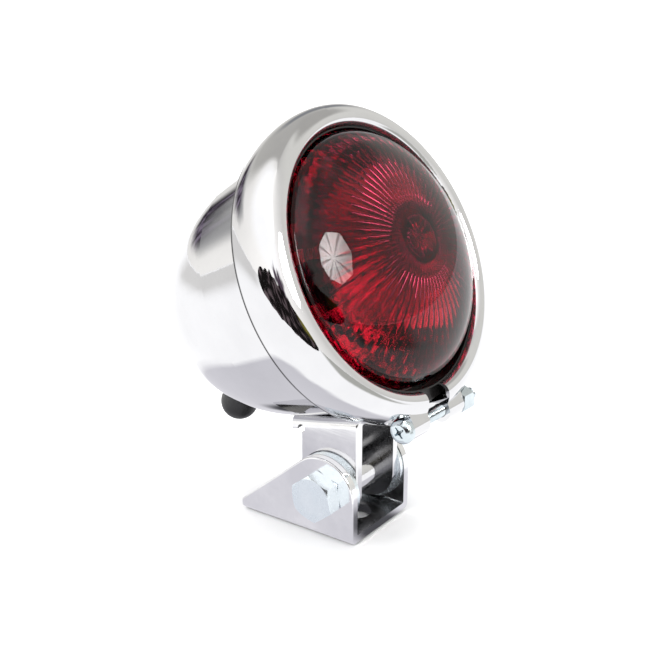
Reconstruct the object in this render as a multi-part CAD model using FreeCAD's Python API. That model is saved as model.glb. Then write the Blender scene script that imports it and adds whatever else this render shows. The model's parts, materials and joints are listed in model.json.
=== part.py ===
"""Motorcycle tail light: a chrome bullet lamp on a two-piece tilting bracket.

Millimetres, +Z up. The lens faces -Y and the bracket's base lies on Z = 0, with the origin at the
centre of its fender bolt hole. Lamp parts are drawn in the lamp's own frame and then placed: +Y runs
back along the lamp's axis from the plane of the bezel's lip, and -Z is the side with the clamp screw.
"""
import FreeCAD, Part
import math
import os

from FreeCAD import Placement, Rotation, Vector

# ---- Bracket ------------------------------------------------------------------------------------
SHEET = 2.0                 # thickness of both bracket pressings
BASE_FRONT = -6.8           # front edge of the lower bracket
BASE_REAR = 25.0            # rear edge of the lower bracket
BASE_WIDTH = 23.2           # over the outer faces of its two ears
FENDER_HOLE_R = 3.5         # clearance hole for an M6 fender bolt
PIVOT_Y = 2.0               # tilt axis, parallel to X
PIVOT_Z = 10.9
EAR_R = 8.8                 # rounded top of each lower ear
REAR_EDGE = 2.5             # height of the short upright edge at the rear
LOWER_BEND_R = 1.6          # outside bend radius of the lower bracket
UPPER_WIDTH = 16.8          # over the outer faces of the upper bracket's ears
UPPER_EAR_R = 7.7           # half width and rounded end of each upper ear
UPPER_BEND_R = 2.4          # outside bend radius of the upper bracket
WEB_SLOPE = 13.0            # degrees that the web falls towards the rear
WEB_Y = 5.0                 # a point on the web's top face
WEB_Z = 27.7
WEB_REAR = 8.0              # rear end of the web, measured along it from that point
RELIEF_R = 1.0              # bend relief where the web runs past the ears
EDGE_BREAK = 0.4            # rounding of the pressings' polished edges
PIVOT_FIT = 0.06            # radial clearance of the tilt pivot's bores
RIVET_R = 1.6
RIVET_HEAD_R = 2.6
RIVET_HEAD = 1.2
RIVET_PLACES = (-3.0, 5.4)  # along the web
EARTH_TAG_AT = RIVET_PLACES[1]
EARTH_TAG_SHEET = 0.6
EARTH_TAG_WIDTH = 2.8
EARTH_TAG_HEIGHT = 6.5

# ---- Pivot fasteners ----------------------------------------------------------------------------
BOLT_R = 3.0                # M6
BOLT_LENGTH = 30.0
BOLT_FLATS = 10.0
BOLT_HEAD = 4.0
HEX_TURN = 39.0             # degrees that the bolt head's corner stands above the front
NUT_HEIGHT = 5.0
WASHER_R = 8.6              # friction washers between the ears
SPRING_WASHER = 1.6
SPRING_WASHER_R = 5.4
SPACER_R = 5.0              # spacer tube between the upper ears

# ---- Lamp ---------------------------------------------------------------------------------------
LAMP_TILT = 28.0            # degrees that the lens looks up at rest
LIP_Y = -7.5                # centre of the bezel's lip
LIP_Z = 66.3
SHELL = 0.9                 # housing and bezel sheet
LIP_R = 29.9
BEZEL_R = 35.8
BEZEL_WIDEST = 4.0          # plane of its largest radius, behind the lip
BEZEL_CREST = -0.9          # foremost plane of the rolled lip
BEZEL_CREST_R = 31.6
BEZEL_REAR = 12.3
BEZEL_REAR_R = 34.5
BEZEL_FLANGE_R = 32.3       # inner edge of the flange that pulls on the housing's rim
CLAMP_GAP = 7.8             # between the bezel's two lugs
CLAMP_TURN = 2.6            # degrees that the clamp sits round from the lowest point
CLAMP_SIDE = -1.5           # middle of the gap, measured along the clamp screw
LUG_LENGTH = 6.0
LUG_R = 2.7
CLAMP_RADIUS = 35.6         # clamp screw from the lamp's axis
CLAMP_BACK = 3.4            # clamp screw behind the lip
CLAMP_SCREW_R = 1.5         # M3
CLAMP_SCREW_LENGTH = 27.0
CLAMP_HEAD_R = 2.85
CLAMP_HEAD = 2.2
CLAMP_FLATS = 5.5
CLAMP_NUT = 4.0             # self-locking nut
SPOT_FACE_R = 3.4           # relief in the ring for the screw's head and nut
HOUSING_R = 31.8            # housing wall where it leaves the bezel
HOUSING_TAPER_R = 28.9
HOUSING_TAPER_BACK = 28.4
HOUSING_REAR = 57.2
HOUSING_REAR_PULL = 15.9    # how square the rounded rear is, at its tip
HOUSING_SIDE_PULL = 18.7    # and where it leaves the tapered wall
RIM_R = 33.3                # rims of the housing, gasket and reflector inside the bezel
RIM_BACK = 10.4
RIM_REAR = 11.4
GASKET_BACK = 9.2
GASKET_INNER_R = 29.0
REFLECTOR_BACK = 8.0
LENS_FLANGE_FRONT = 5.4
LENS_FLANGE_R = 33.3
LENS_R = 28.9
LENS_BACK = 2.8             # widest plane of the dome
LENS_HEIGHT = 12.7
LENS_WALL = 2.0
LENS_UP = 0.5               # the lens rests against the top of the ring, away from the clamp
BULLSEYE_R = 4.9
BULLSEYE_RISE = 1.6
SEAL_R = 29.5               # inside of the seal
SEAL_SHOULDER = 2.4         # where the seal meets the inside of the bezel's crest
SEAL_SHOULDER_R = 32.4
SLEEVE_FRONT = 0.9          # thin sleeve of the seal, inside the lip
SLEEVE_BACK = 1.6

# ---- Reflector, bulb and socket -----------------------------------------------------------------
BOWL_R = 26.5
BOWL_DEEPEST = 27.0         # vertex of the parabola, behind the lip
BOWL_COLUMNS = 36
BOWL_ROWS = 6
BOWL_WALL = 1.3
NECK_R = 8.9
COLLAR_R = 10.3
COLLAR_END = 31.0
SOCKET_R = 8.5
SOCKET_BORE_R = 7.6
SOCKET_FRONT = 24.0
SOCKET_END = 52.0
BULB_R = 12.5               # S25 glass
BULB_TIP = -4.0
BULB_NECK_BACK = 22.0
CAP_R = 7.5                 # BAY15d cap
CAP_END = 40.0
CAP_WALL = 0.7
GLASS = 0.7                 # wall of the bulb's glass
CAP_FIT = 0.05              # radial clearance of the sliding contact block in the socket
PIN_R = 1.0
PIN_BACK = 31.5
PIN_OUT = 8.3               # ends of the bayonet pins from the axis
SLOT_TURN = 25.0            # degrees between a bayonet slot's mouth and its pocket
PUSH = 2.0                  # travel of the bulb against its spring
CONTACT_X = 3.2             # the two live contacts, either side of the lamp's axis
STUD_R = 1.3
STUD_HEAD_R = 2.0
STUD_HEAD = 0.6
STUD_LENGTH = 4.0
PIP_R = 1.6                 # the bulb's own contacts
PIP = 0.8
BLOCK_THICK = 2.2
INSULATOR_THICK = 2.0
TERMINAL_SHEET = 0.8
TERMINAL_WIDTH = 3.4
SPRING_WIRE_R = 0.4
SPRING_COIL_R = 6.4
SPRING_TURNS = 3.5
SPRING_SIDES = 16           # straight runs of wire per turn
GROMMET_R = 4.5
GROMMET_CABLE_R = 2.4
GROMMET_OUT = 7.0           # centre of its domed end, outside the housing
GROMMET_IN = 3.2            # its inner end
GROMMET_GROOVE_R = 3.7
GROMMET_T = 0.6             # place of the grommet along the rounded rear, 0 at its start, 1 at its tip

X_AXIS = Vector(1, 0, 0)
Y_AXIS = Vector(0, 1, 0)
Z_AXIS = Vector(0, 0, 1)
ORIGIN = Vector(0, 0, 0)

LAMP = Placement(Vector(0, LIP_Y, LIP_Z), Rotation(X_AXIS, -LAMP_TILT))
CLAMP = LAMP.multiply(Placement(ORIGIN, Rotation(Y_AXIS, CLAMP_TURN))).multiply(
    Placement(Vector(CLAMP_SIDE, CLAMP_BACK, -CLAMP_RADIUS), Rotation())
)
WEB = Placement(Vector(0, WEB_Y, WEB_Z), Rotation(X_AXIS, -WEB_SLOPE))


# ---- Helpers ------------------------------------------------------------------------------------
def placed(shape, placement):
    """A copy of shape, moved from a local frame to the part's frame."""
    copy = shape.copy()
    copy.Placement = placement.multiply(copy.Placement)
    return copy


def line(start, end):
    return Part.makeLine(Vector(*start), Vector(*end))


def face_in_yz(points):
    """A flat face at X = 0 from (y, z) corner points."""
    corners = [Vector(0, y, z) for y, z in points]
    return Part.Face(Part.makePolygon(corners + corners[:1]))


def turned(face):
    """The solid that a YZ half-section sweeps about the Y axis."""
    return face.revolve(ORIGIN, Y_AXIS, 360)


def turned_points(points):
    """A solid of revolution about Y from (back, radius) corner points."""
    return turned(face_in_yz(points))


def smooth(points):
    """A smooth edge at X = 0 through (back, radius) points."""
    curve = Part.BSplineCurve()
    curve.interpolate([Vector(0, y, z) for y, z in points])
    return curve.toShape()


def along_x(radius, start, end):
    return Part.makeCylinder(radius, end - start, Vector(start, 0, 0), X_AXIS)


def along_y(radius, start, end):
    return Part.makeCylinder(radius, end - start, Vector(0, start, 0), Y_AXIS)


def hexagon_along_x(flats, start, end, turn=0.0):
    """A hexagonal prism along X whose outer corners are chamfered at both ends."""
    corner_r = flats / 2 / math.cos(math.radians(30))
    angles = [math.radians(turn + 60 * i) for i in range(7)]
    corners = [Vector(start, -corner_r * math.cos(a), corner_r * math.sin(a)) for a in angles]
    prism = Part.Face(Part.makePolygon(corners)).extrude(Vector(end - start, 0, 0))
    lathe_cut = along_x(corner_r, start, end)
    chamfer = (corner_r - flats / 2) * 0.9
    rims = [edge for edge in lathe_cut.Edges if isinstance(edge.Curve, Part.Circle)]
    return prism.common(lathe_cut.makeChamfer(chamfer * math.tan(math.radians(30)), chamfer, rims))


def channel(width, height, sheet, bend_r, front, rear):
    """A folded channel along Y: its web's outer face is Z = 0, its legs hang down to -height."""
    half = width / 2
    outer = Part.makeBox(width, rear - front, height, Vector(-half, front, -height))
    hollow = width - 2 * sheet
    inner = Part.makeBox(hollow, rear - front, height, Vector(-half + sheet, front, -height - sheet))
    top_edges = [
        edge for edge in outer.Edges
        if edge.BoundBox.ZMin > -0.01 and edge.BoundBox.XLength < 0.01
    ]
    inner_edges = [
        edge for edge in inner.Edges
        if edge.BoundBox.ZMin > -sheet - 0.01 and edge.BoundBox.XLength < 0.01
    ]
    inner_r = max(bend_r - sheet, 0.4)
    return outer.makeFillet(bend_r, top_edges).cut(inner.makeFillet(inner_r, inner_edges))


def break_edges(shape, width, height):
    """Rounds the outline of a channel's outer side faces, as far up as height, but not its bores."""
    rims = []
    for edge in shape.Edges:
        box = edge.BoundBox
        on_side = box.XLength < 0.01 and abs(abs(box.XMin) - width / 2) < 0.01
        on_bore = isinstance(edge.Curve, Part.Circle) and edge.Curve.Radius < BOLT_R + 1
        if on_side and not on_bore and box.ZLength > 0.05 and box.ZMin < height:
            rims.append(edge)
    return shape.makeFillet(EDGE_BREAK, rims)


# ---- Bracket ------------------------------------------------------------------------------------
def lower_bracket():
    """U pressing: a base with the fender hole and two ears that rise to the tilt pivot."""
    reach_y = BASE_REAR - PIVOT_Y
    reach_z = REAR_EDGE - PIVOT_Z
    distance = math.hypot(reach_y, reach_z)
    tangent = math.atan2(reach_z, reach_y) + math.acos(EAR_R / distance)

    def on_ear(angle):
        return Vector(0, PIVOT_Y + EAR_R * math.cos(angle), PIVOT_Z + EAR_R * math.sin(angle))

    rear_tangent = on_ear(tangent)
    top = on_ear((tangent + math.pi) / 2)
    front_tangent = on_ear(math.pi)
    corner = Vector(0, BASE_FRONT, 0)
    outline = Part.Wire([
        Part.makeLine(corner, Vector(0, BASE_REAR, 0)),
        Part.makeLine(Vector(0, BASE_REAR, 0), Vector(0, BASE_REAR, REAR_EDGE)),
        Part.makeLine(Vector(0, BASE_REAR, REAR_EDGE), rear_tangent),
        Part.Arc(rear_tangent, top, front_tangent).toShape(),
        Part.makeLine(front_tangent, corner),
    ])
    profile = Part.Face(outline).extrude(Vector(BASE_WIDTH, 0, 0))
    profile.translate(Vector(-BASE_WIDTH / 2, 0, 0))
    height = PIVOT_Z + EAR_R + 1
    folded = channel(BASE_WIDTH, height, SHEET, LOWER_BEND_R, BASE_FRONT, BASE_REAR)
    folded = placed(folded, Placement(ORIGIN, Rotation(X_AXIS, 180)))
    folded.translate(Vector(0, BASE_FRONT + BASE_REAR, 0))
    bracket = break_edges(folded.common(profile), BASE_WIDTH, height)
    bracket = bracket.cut(Part.makeCylinder(FENDER_HOLE_R, 3 * SHEET, Vector(0, 0, -SHEET)))
    return bracket.cut(on_pivot(along_x(BOLT_R + PIVOT_FIT, -BASE_WIDTH, BASE_WIDTH)))


def on_pivot(shape):
    """Moves a shape drawn about the X axis onto the tilt pivot."""
    return placed(shape, Placement(Vector(0, PIVOT_Y, PIVOT_Z), Rotation()))


def upper_bracket():
    """Inverted U pressing: a sloping web under the housing and two hanging ears."""
    bottom = Vector(0, PIVOT_Y, PIVOT_Z - UPPER_EAR_R)
    front = Vector(0, PIVOT_Y - UPPER_EAR_R, PIVOT_Z)
    rear = Vector(0, PIVOT_Y + UPPER_EAR_R, PIVOT_Z)
    slope = math.tan(math.radians(WEB_SLOPE))
    shoulder = UPPER_BEND_R + 0.4

    def web_top(y):
        return WEB_Z - (y - WEB_Y) * slope

    web_rear = WEB.multVec(Vector(0, WEB_REAR, 0))
    web_rear_low = WEB.multVec(Vector(0, WEB_REAR, -shoulder))
    rear_corner = Vector(0, rear.y, web_top(rear.y) - shoulder)
    front_top = Vector(0, front.y, web_top(front.y))
    outline = Part.Wire([
        Part.Arc(rear, bottom, front).toShape(),
        Part.makeLine(front, front_top),
        Part.makeLine(front_top, web_rear),
        Part.makeLine(web_rear, web_rear_low),
        Part.makeLine(web_rear_low, rear_corner),
        Part.makeLine(rear_corner, rear),
    ])
    profile = Part.Face(outline).extrude(Vector(UPPER_WIDTH, 0, 0))
    profile.translate(Vector(-UPPER_WIDTH / 2, 0, 0))
    folded = placed(channel(UPPER_WIDTH, WEB_Z, SHEET, UPPER_BEND_R, -UPPER_WIDTH, WEB_REAR), WEB)
    bracket = folded.common(profile)
    relief = Part.makeCylinder(RELIEF_R, UPPER_WIDTH, rear_corner - Vector(UPPER_WIDTH / 2, 0, 0), X_AXIS)
    bracket = bracket.cut(relief)
    bracket = bracket.cut(on_pivot(along_x(BOLT_R + PIVOT_FIT, -BASE_WIDTH, BASE_WIDTH)))
    bracket = break_edges(bracket, UPPER_WIDTH, PIVOT_Z + BOLT_R)
    return bracket.cut(rivet_holes())


def pivot_bolt():
    """M6 hexagon bolt with its head on the left ear."""
    seat = -BASE_WIDTH / 2
    shank = along_x(BOLT_R, seat, seat + BOLT_LENGTH)
    tip = [edge for edge in shank.Edges if edge.BoundBox.XMin > seat + BOLT_LENGTH - 0.01]
    head = hexagon_along_x(BOLT_FLATS, seat - BOLT_HEAD, seat, HEX_TURN)
    return on_pivot(shank.makeChamfer(0.6, tip).fuse(head).removeSplitter())


def pivot_nut():
    """M6 nut on the right, outside the spring washer."""
    start = BASE_WIDTH / 2 + SPRING_WASHER
    nut = hexagon_along_x(BOLT_FLATS, start, start + NUT_HEIGHT, HEX_TURN)
    return on_pivot(nut.cut(along_x(BOLT_R, start - 1, start + NUT_HEIGHT + 1)))


def spring_washer():
    """Split spring washer under the pivot nut, pressed flat."""
    start = BASE_WIDTH / 2
    ring = along_x(SPRING_WASHER_R, start, start + SPRING_WASHER)
    ring = ring.cut(along_x(BOLT_R + 0.1, start - 1, start + SPRING_WASHER + 1))
    split = Part.makeBox(2 * SPRING_WASHER, 0.8, SPRING_WASHER_R + 1, Vector(start - 0.8, -0.4, 0))
    split.rotate(Vector(start + SPRING_WASHER / 2, 0, 0), Z_AXIS, 30)
    return on_pivot(ring.cut(split))


def friction_washers():
    """The two plain washers that sit between the lower and the upper ears."""
    inner = UPPER_WIDTH / 2
    outer = BASE_WIDTH / 2 - SHEET
    washer = along_x(WASHER_R, inner, outer).cut(along_x(BOLT_R + PIVOT_FIT, inner - 1, outer + 1))
    mirrored = washer.mirror(ORIGIN, X_AXIS)
    return Part.makeCompound([on_pivot(washer), on_pivot(mirrored)])


def spacer_tube():
    """Tube on the bolt that keeps the upper ears apart when the nut is tightened."""
    half = UPPER_WIDTH / 2 - SHEET
    return on_pivot(along_x(SPACER_R, -half, half).cut(along_x(BOLT_R + PIVOT_FIT, -half - 1, half + 1)))


# ---- Bracket rivets -----------------------------------------------------------------------------
def rivet_holes():
    """The rivets' shanks, as cutters through the web and the housing."""
    return Part.makeCompound([
        placed(Part.makeCylinder(RIVET_R, 12, Vector(0, y, -6)), WEB) for y in RIVET_PLACES
    ])


def bracket_rivets():
    """Two rivets that hold the web to the seat pressed into the housing."""
    rivets = []
    for y in RIVET_PLACES:
        inside = SHELL + (EARTH_TAG_SHEET if y == EARTH_TAG_AT else 0)
        shank = Part.makeCylinder(RIVET_R, inside + SHEET, Vector(0, y, -SHEET))
        rivet = shank
        for seat, side in ((inside, 1), (-SHEET, -1)):
            ball_r = (RIVET_HEAD_R ** 2 + RIVET_HEAD ** 2) / (2 * RIVET_HEAD)
            centre = seat + side * (RIVET_HEAD - ball_r)
            cap = Part.makeSphere(ball_r, Vector(0, y, centre))
            low = seat if side > 0 else seat - RIVET_HEAD
            rivet = rivet.fuse(cap.common(Part.makeCylinder(RIVET_HEAD_R, RIVET_HEAD, Vector(0, y, low))))
        rivets.append(placed(rivet.removeSplitter(), WEB))
    return Part.makeCompound(rivets)


def earth_tag():
    """Tinned ring tag under the rear rivet's head, with an upright blade for the lamp's earth lead."""
    ring = Part.makeCylinder(RIVET_HEAD_R, EARTH_TAG_SHEET, Vector(0, EARTH_TAG_AT, SHELL))
    blade_at = EARTH_TAG_AT + RIVET_HEAD_R + 0.3
    left = -EARTH_TAG_WIDTH / 2
    foot = Part.makeBox(
        EARTH_TAG_WIDTH, blade_at - EARTH_TAG_AT, EARTH_TAG_SHEET, Vector(left, EARTH_TAG_AT, SHELL)
    )
    blade = Part.makeBox(EARTH_TAG_WIDTH, EARTH_TAG_SHEET, EARTH_TAG_HEIGHT, Vector(left, blade_at, SHELL))
    tag = ring.fuse(foot).fuse(blade).removeSplitter()
    return placed(tag, WEB).cut(rivet_holes())


# ---- Housing ------------------------------------------------------------------------------------
def rear_curve(inset):
    """The rounded rear's profile, from the tapered wall to the tip, moved inwards by inset."""
    taper = (HOUSING_R - HOUSING_TAPER_R) / (HOUSING_TAPER_BACK - BEZEL_REAR)
    start = Vector(0, HOUSING_TAPER_BACK, HOUSING_TAPER_R - inset)
    along = start + Vector(0, HOUSING_SIDE_PULL, -HOUSING_SIDE_PULL * taper)
    curve = Part.BezierCurve()
    curve.setPoles([
        start,
        Vector(0, along.y - inset, along.z),
        Vector(0, HOUSING_REAR - inset, HOUSING_REAR_PULL - inset),
        Vector(0, HOUSING_REAR - inset, 0),
    ])
    return curve


def housing_body(inset):
    """Solid of the housing's outside (inset 0) or of its hollow (inset SHELL), with the bracket's seat."""
    front = RIM_BACK - (1 if inset else 0)
    wall_front = (0, front, HOUSING_R - inset)
    wall_end = (0, HOUSING_TAPER_BACK, HOUSING_TAPER_R - inset)
    outline = Part.Wire([
        line((0, front, 0), wall_front),
        line(wall_front, wall_end),
        rear_curve(inset).toShape(),
        line((0, HOUSING_REAR - inset, 0), (0, front, 0)),
    ])
    body = turned(Part.Face(outline))
    below_seat = placed(Part.makeBox(60, 80, 30, Vector(-30, -40, inset - 30)), WEB)
    return body.cut(placed(below_seat, LAMP.inverse()))


def grommet_frame():
    """Frame at the cable hole: +Z along the housing's outward normal, in the lamp's frame."""
    curve = rear_curve(0)
    parameter = curve.FirstParameter + GROMMET_T * (curve.LastParameter - curve.FirstParameter)
    point = curve.value(parameter)
    tangent = curve.tangent(parameter)[0]
    outward = Vector(0, -tangent.z, -tangent.y)
    below = Vector(0, point.y, -point.z)
    return Placement(below, Rotation(Z_AXIS, outward if outward.z < 0 else -outward))


def grommet_hole():
    """Cutter for the housing's cable hole, in the lamp's frame."""
    return placed(Part.makeCylinder(GROMMET_GROOVE_R, 8, Vector(0, 0, -4)), grommet_frame())


def housing():
    """Pressed bullet shell with a rim for the bezel, a flat seat for the bracket and a cable hole."""
    rim = turned_points([
        (RIM_BACK, HOUSING_R - SHELL), (RIM_BACK, RIM_R), (RIM_REAR, RIM_R), (RIM_REAR, HOUSING_R - SHELL),
    ])
    shell = housing_body(0).fuse(rim).cut(housing_body(SHELL))
    shell = shell.cut(grommet_hole())
    return placed(shell, LAMP).cut(rivet_holes())


def cable_grommet():
    """Rubber sleeve with a domed end and a groove that grips the edge of the housing's hole."""
    body = Part.makeCylinder(GROMMET_R, GROMMET_IN + GROMMET_OUT, Vector(0, 0, -GROMMET_IN))
    body = body.fuse(Part.makeSphere(GROMMET_R, Vector(0, 0, GROMMET_OUT)))
    hole = Part.makeCylinder(GROMMET_CABLE_R, 6 * GROMMET_OUT, Vector(0, 0, -3 * GROMMET_OUT))
    rubber = placed(body.cut(hole), grommet_frame())
    wall = housing_body(0).cut(housing_body(SHELL)).cut(grommet_hole())
    return placed(rubber.cut(wall).removeSplitter(), LAMP)


# ---- Bezel and its clamp ------------------------------------------------------------------------
def bezel_section():
    """Half-section of the bezel: a lip rolled inwards, a full round face and a rear edge."""
    outside = [
        (0.6, LIP_R), (BEZEL_CREST, BEZEL_CREST_R), (0.3, 34.3), (BEZEL_WIDEST, BEZEL_R), (8.6, 35.5),
        (BEZEL_REAR, BEZEL_REAR_R),
    ]
    inside = []
    for i, (y, z) in enumerate(outside):
        before = outside[max(i - 1, 0)]
        after = outside[min(i + 1, len(outside) - 1)]
        run = (after[0] - before[0], after[1] - before[1])
        length = math.hypot(*run)
        inside.append((y + run[1] / length * SHELL, z - run[0] / length * SHELL))
    inside[0] = (outside[0][0] + SHELL, LIP_R)
    inside[-1] = (BEZEL_REAR, BEZEL_REAR_R - SHELL)
    return Part.Face(Part.Wire([
        smooth(outside),
        line((0, *outside[-1]), (0, *inside[-1])),
        smooth(inside),
        line((0, *inside[0]), (0, *outside[0])),
    ]))


def bezel_lugs():
    """The two lugs that carry the clamp screw, in the clamp's frame."""
    lugs = []
    for side in (-1, 1):
        near = side * CLAMP_GAP / 2
        far = side * (CLAMP_GAP / 2 + LUG_LENGTH)
        low, high = min(near, far), max(near, far)
        lug = along_x(LUG_R, low, high)
        lug = lug.fuse(Part.makeBox(high - low, 2 * LUG_R, LUG_R, Vector(low, -LUG_R, 0)))
        lugs.append(lug)
    return lugs[0].fuse(lugs[1])


def bezel_ring():
    """Split clamp ring that grips the lens, the gaskets and the housing's rim."""
    ring = turned(bezel_section())
    flange = turned_points([
        (RIM_REAR, BEZEL_FLANGE_R), (RIM_REAR, BEZEL_REAR_R - SHELL / 2),
        (BEZEL_REAR, BEZEL_REAR_R - SHELL / 2), (BEZEL_REAR, BEZEL_FLANGE_R),
    ])
    ring = ring.fuse(flange)
    inside = turned_points([(-5, 0), (-5, RIM_R + 0.2), (RIM_REAR, RIM_R + 0.2), (RIM_REAR, 0)])
    inside = placed(inside, LAMP)
    lugs = placed(bezel_lugs(), CLAMP).cut(inside)
    ring = placed(ring, LAMP).fuse(lugs)
    gap = Part.makeBox(CLAMP_GAP, 30, 16, Vector(-CLAMP_GAP / 2, -12, -7))
    bore = along_x(CLAMP_SCREW_R + 0.1, -20, 20)
    seat = CLAMP_GAP / 2 + LUG_LENGTH
    left_face = along_x(SPOT_FACE_R, -seat - 6, -seat)
    right_face = along_x(SPOT_FACE_R, seat, seat + 10)
    for cutter in (gap, bore, left_face, right_face):
        ring = ring.cut(placed(cutter, CLAMP))
    return ring.removeSplitter()


def clamp_screw():
    """M3 pan-head cross-recess screw through both lugs."""
    seat = -CLAMP_GAP / 2 - LUG_LENGTH
    head = along_x(CLAMP_HEAD_R, seat - CLAMP_HEAD, seat)
    rim = [edge for edge in head.Edges if edge.BoundBox.XMax < seat - CLAMP_HEAD + 0.01]
    head = head.makeFillet(1.1, rim)
    for turn in (45, 135):
        blade = Part.makeBox(1.6, 3.2, 0.8, Vector(seat - CLAMP_HEAD - 0.1, -1.6, -0.4))
        blade.rotate(Vector(0, 0, 0), X_AXIS, turn)
        head = head.cut(blade)
    shank = along_x(CLAMP_SCREW_R, seat, seat + CLAMP_SCREW_LENGTH)
    tip = [edge for edge in shank.Edges if edge.BoundBox.XMin > seat + CLAMP_SCREW_LENGTH - 0.01]
    return placed(head.fuse(shank.makeChamfer(0.3, tip)).removeSplitter(), CLAMP)


def clamp_nut():
    """M3 hexagon nut on the right-hand lug."""
    start = CLAMP_GAP / 2 + LUG_LENGTH
    nut = hexagon_along_x(CLAMP_FLATS, start, start + CLAMP_NUT, 10)
    return placed(nut.cut(along_x(CLAMP_SCREW_R, start - 1, start + CLAMP_NUT + 1)), CLAMP)


# ---- Lens and seals -----------------------------------------------------------------------------
def dome_arc(inset, rim_r, centre_r):
    """The dome's elliptical profile, moved inwards by inset, between two radii."""
    reach = LENS_R - inset
    height = LENS_HEIGHT - inset
    centre = Vector(0, LENS_BACK, 0)
    ellipse = Part.Ellipse(centre + Vector(0, 0, reach), centre - Vector(0, height, 0), centre)
    return ellipse.toBSpline(math.acos(rim_r / reach), math.acos(centre_r / reach)).toShape()


def lens():
    """Red domed lens with a flange that the bezel clamps and a bullseye at its centre."""
    inner_r = LENS_R - LENS_WALL
    apex = LENS_BACK - LENS_HEIGHT
    inner_dome = dome_arc(LENS_WALL, inner_r, BULLSEYE_R)
    bullseye_edge = min((vertex.Point for vertex in inner_dome.Vertexes), key=lambda point: point.z)
    bullseye_top = Vector(0, apex + LENS_WALL + BULLSEYE_RISE, 0)
    mirrored_edge = Vector(0, bullseye_edge.y, -bullseye_edge.z)
    bulge = Part.Arc(bullseye_edge, bullseye_top, mirrored_edge)
    middle = bulge.parameter(bullseye_top)
    outline = Part.Wire([
        dome_arc(0, LENS_R, 0),
        line((0, LENS_BACK, LENS_R), (0, LENS_FLANGE_FRONT, LENS_R)),
        line((0, LENS_FLANGE_FRONT, LENS_R), (0, LENS_FLANGE_FRONT, LENS_FLANGE_R)),
        line((0, LENS_FLANGE_FRONT, LENS_FLANGE_R), (0, REFLECTOR_BACK, LENS_FLANGE_R)),
        line((0, REFLECTOR_BACK, LENS_FLANGE_R), (0, REFLECTOR_BACK, inner_r)),
        line((0, REFLECTOR_BACK, inner_r), (0, LENS_BACK, inner_r)),
        inner_dome,
        bulge.toShape(bulge.FirstParameter, middle),
        line(bullseye_top, (0, apex, 0)),
    ])
    body = turned(Part.Face(outline))
    body.translate(Vector(0, 0, LENS_UP))
    return placed(body, LAMP)


def lens_seal():
    """Black rubber ring on the lens flange, with a thin sleeve that lines the bezel's lip."""
    sleeve_outer_r = LIP_R - 0.05
    return placed(turned_points([
        (SLEEVE_FRONT, SEAL_R), (SLEEVE_FRONT, sleeve_outer_r), (SLEEVE_BACK, sleeve_outer_r),
        (SEAL_SHOULDER, SEAL_SHOULDER_R), (LENS_FLANGE_FRONT, RIM_R - 0.1), (LENS_FLANGE_FRONT, SEAL_R),
    ]), LAMP)


def housing_gasket():
    """Flat rubber gasket between the reflector's flange and the housing's rim."""
    return placed(turned_points([
        (GASKET_BACK, GASKET_INNER_R), (GASKET_BACK, RIM_R - 0.2), (RIM_BACK, RIM_R - 0.2),
        (RIM_BACK, GASKET_INNER_R),
    ]), LAMP)


# ---- Reflector ----------------------------------------------------------------------------------
def bowl_back(radius):
    """How far behind the lip the parabolic bowl lies at a radius."""
    depth = BOWL_DEEPEST - REFLECTOR_BACK
    return BOWL_DEEPEST - depth * (radius / BOWL_R) ** 2


def bowl_polygon(radius):
    corners = []
    for i in range(BOWL_COLUMNS + 1):
        angle = 2 * math.pi * i / BOWL_COLUMNS
        corners.append(Vector(radius * math.cos(angle), bowl_back(radius), radius * math.sin(angle)))
    return Part.makePolygon(corners)


def reflector():
    """Metallised bowl of flat facets, with a clamped flange and a collar for the socket."""
    step = (BOWL_R - NECK_R) / BOWL_ROWS
    radii = [BOWL_R - step * i for i in range(BOWL_ROWS + 1)]
    back = [(bowl_back(r) + BOWL_WALL, r + BOWL_WALL * 0.6) for r in radii]
    outline = [(REFLECTOR_BACK, 0), (REFLECTOR_BACK, LENS_FLANGE_R), (GASKET_BACK, LENS_FLANGE_R)]
    outline += [(GASKET_BACK, back[0][1] + 0.4)] + back[1:]
    outline += [(back[-1][0], COLLAR_R), (COLLAR_END, COLLAR_R), (COLLAR_END, 0)]
    body = turned_points(outline)
    for outer_r, inner_r in zip(radii, radii[1:]):
        body = body.cut(Part.makeLoft([bowl_polygon(outer_r), bowl_polygon(inner_r)], True, True))
    body = body.cut(along_y(SOCKET_R, SOCKET_FRONT - 4, COLLAR_END + 1))
    return placed(body, LAMP)


# ---- Bulb and socket ----------------------------------------------------------------------------
def bulb_glass():
    """Clear S25 glass: a ball that narrows into the cap."""
    centre = BULB_TIP + BULB_R
    neck_r = CAP_R - CAP_WALL
    waist_r = BULB_R * 0.8
    waist_start = Vector(0, centre + BULB_R * 0.6, 0)
    waist_length = BULB_NECK_BACK - waist_start.y
    ball = Part.makeSphere(BULB_R, Vector(0, centre, 0))
    waist = Part.makeCone(waist_r, neck_r, waist_length, waist_start, Y_AXIS)
    neck = along_y(neck_r, BULB_NECK_BACK, BULB_NECK_BACK + 3)
    hollow = Part.makeSphere(BULB_R - GLASS, Vector(0, centre, 0))
    hollow = hollow.fuse(Part.makeCone(waist_r - GLASS, neck_r - GLASS, waist_length, waist_start, Y_AXIS))
    return placed(ball.fuse(waist).fuse(neck).cut(hollow).removeSplitter(), LAMP)


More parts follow.
